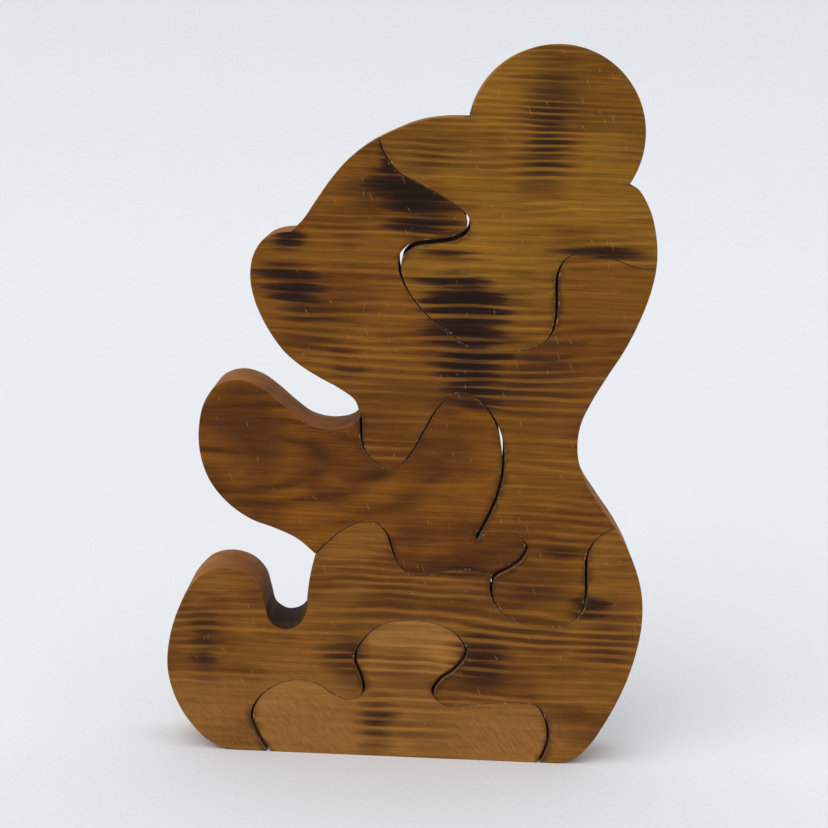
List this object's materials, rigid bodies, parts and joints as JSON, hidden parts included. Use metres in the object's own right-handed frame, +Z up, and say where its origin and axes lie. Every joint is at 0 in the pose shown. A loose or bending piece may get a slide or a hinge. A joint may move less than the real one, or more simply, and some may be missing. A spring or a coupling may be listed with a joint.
{
  "type": "interlocking wooden jigsaw puzzle",
  "caption": "Free-standing interlocking wooden puzzle of a sitting bear in profile, sawn from one thick board into pieces that lock by rounded tabs and push out through its thickness.",
  "frame": {"origin": "on the table, midway between toe and rump and midway through the board", "axes": "+Z up to the ear, -X the way the bear looks, -Y out of the front face, +Y through the board to its back face"},
  "size_m": [0.133, 0.02, 0.2],
  "materials": {
    "body_wood": "burnt, stained and lacquered, satin",
    "base_wood": "burnt, stained and lacquered, satin",
    "arm_wood": "burnt, stained and lacquered, satin",
    "face_wood": "burnt, stained and lacquered, satin",
    "ear_wood": "burnt, stained and lacquered, satin"
  },
  "bodies": {
    "body": {"body_piece": "body_wood"},
    "base": {"base_piece": "base_wood"},
    "arm": {"arm_piece": "arm_wood"},
    "face": {"face_piece": "face_wood"},
    "ear": {"ear_piece": "ear_wood"}
  },
  "joints": [
    {"name": "base_slide", "type": "slide", "parent": "body", "child": "base", "axis": [0, 1, 0], "range_m": [-0.03, 0.03]},
    {"name": "arm_slide", "type": "slide", "parent": "body", "child": "arm", "axis": [0, 1, 0], "range_m": [-0.03, 0.03]},
    {"name": "face_slide", "type": "slide", "parent": "body", "child": "face", "axis": [0, 1, 0], "range_m": [-0.03, 0.03]},
    {"name": "ear_slide", "type": "slide", "parent": "body", "child": "ear", "axis": [0, 1, 0], "range_m": [-0.03, 0.03]}
  ]
}
